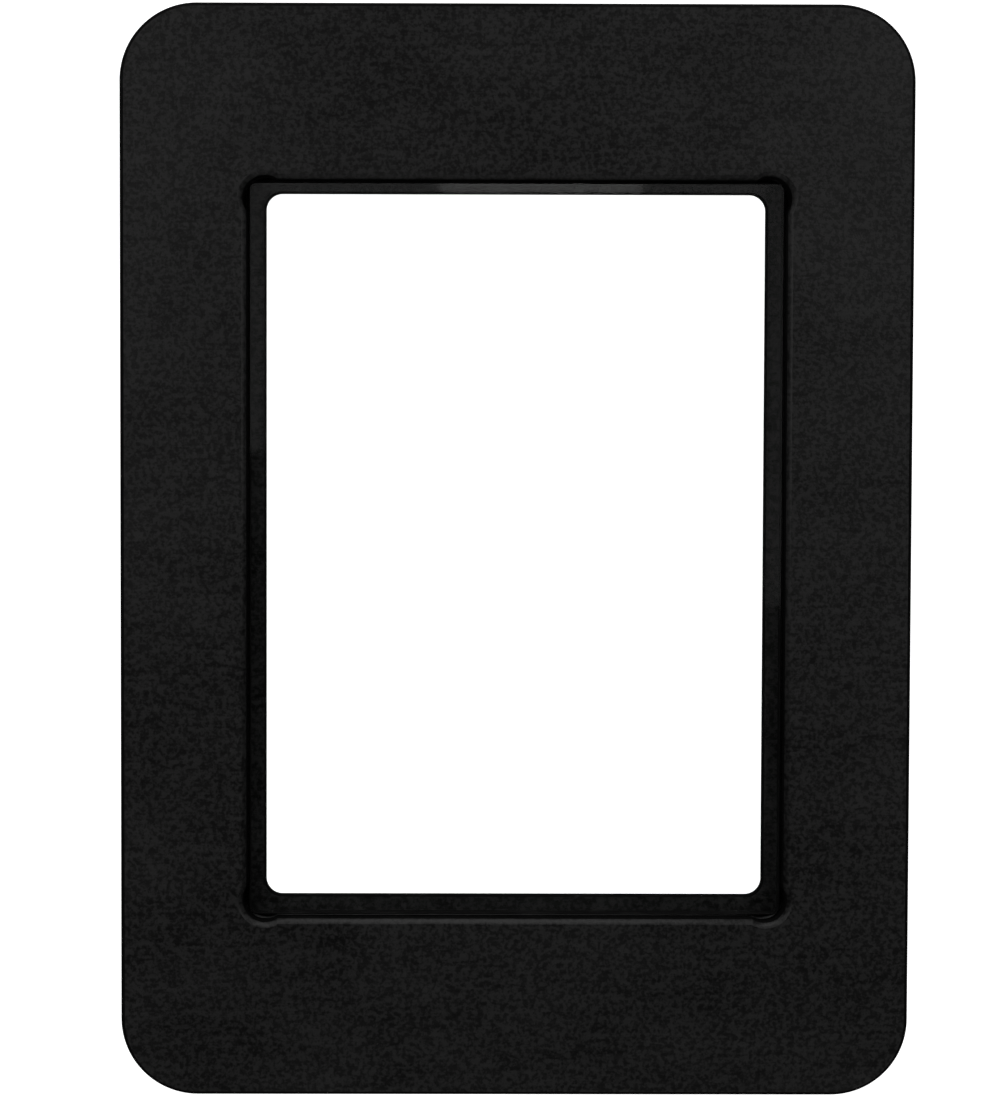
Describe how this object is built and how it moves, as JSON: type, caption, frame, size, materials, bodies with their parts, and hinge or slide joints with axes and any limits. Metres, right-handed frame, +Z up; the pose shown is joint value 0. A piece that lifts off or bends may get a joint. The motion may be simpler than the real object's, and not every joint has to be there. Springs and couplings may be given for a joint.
{
  "type": "glass negative carrier",
  "caption": "Flat black anodised glass negative carrier: a lower plate with a ledged film window, loose glass panes and an upper plate on dowels and magnets.",
  "frame": {"origin": "on the resting surface, under the middle of the lower plate", "axes": "+X across the film, +Y along the film's long side towards the end with the narrower ledge, +Z up towards the lamp"},
  "size_m": [0.203, 0.2804, 0.0103],
  "materials": {
    "plate_black": "brushed and black anodised, matt satin",
    "clear_glass": "clear polished float glass",
    "etched_glass": "float glass, its film side finely etched against interference rings",
    "dowel_steel": "ground stainless steel",
    "magnet_nickel": "bright nickel plating"
  },
  "bodies": {
    "lower_frame": {"lower_plate": "plate_black", "locating_dowel_1": "dowel_steel", "locating_dowel_2": "dowel_steel", "locating_dowel_3": "dowel_steel", "locating_dowel_4": "dowel_steel", "lower_magnet_1": "magnet_nickel", "lower_magnet_2": "magnet_nickel", "lower_magnet_3": "magnet_nickel", "lower_magnet_4": "magnet_nickel", "lower_magnet_5": "magnet_nickel", "lower_magnet_6": "magnet_nickel"},
    "lower_pane": {"lower_glass": "clear_glass"},
    "upper_pane": {"upper_glass": "etched_glass"},
    "upper_frame": {"upper_plate": "plate_black", "upper_magnet_1": "magnet_nickel", "upper_magnet_2": "magnet_nickel", "upper_magnet_3": "magnet_nickel", "upper_magnet_4": "magnet_nickel", "upper_magnet_5": "magnet_nickel", "upper_magnet_6": "magnet_nickel"}
  },
  "joints": [
    {"name": "upper_plate_lift", "type": "slide", "parent": "lower_frame", "child": "upper_frame", "axis": [0, 0, 1], "range_m": [0, 0.06]},
    {"name": "upper_glass_lift", "type": "slide", "parent": "lower_frame", "child": "upper_pane", "axis": [0, 0, 1], "range_m": [0, 0.04]},
    {"name": "lower_glass_lift", "type": "slide", "parent": "lower_frame", "child": "lower_pane", "axis": [0, 0, 1], "range_m": [0, 0.02]}
  ],
  "couplings": [
    {"joint": "lower_glass_lift", "follows": "upper_glass_lift", "ratio": 0.5}
  ]
}
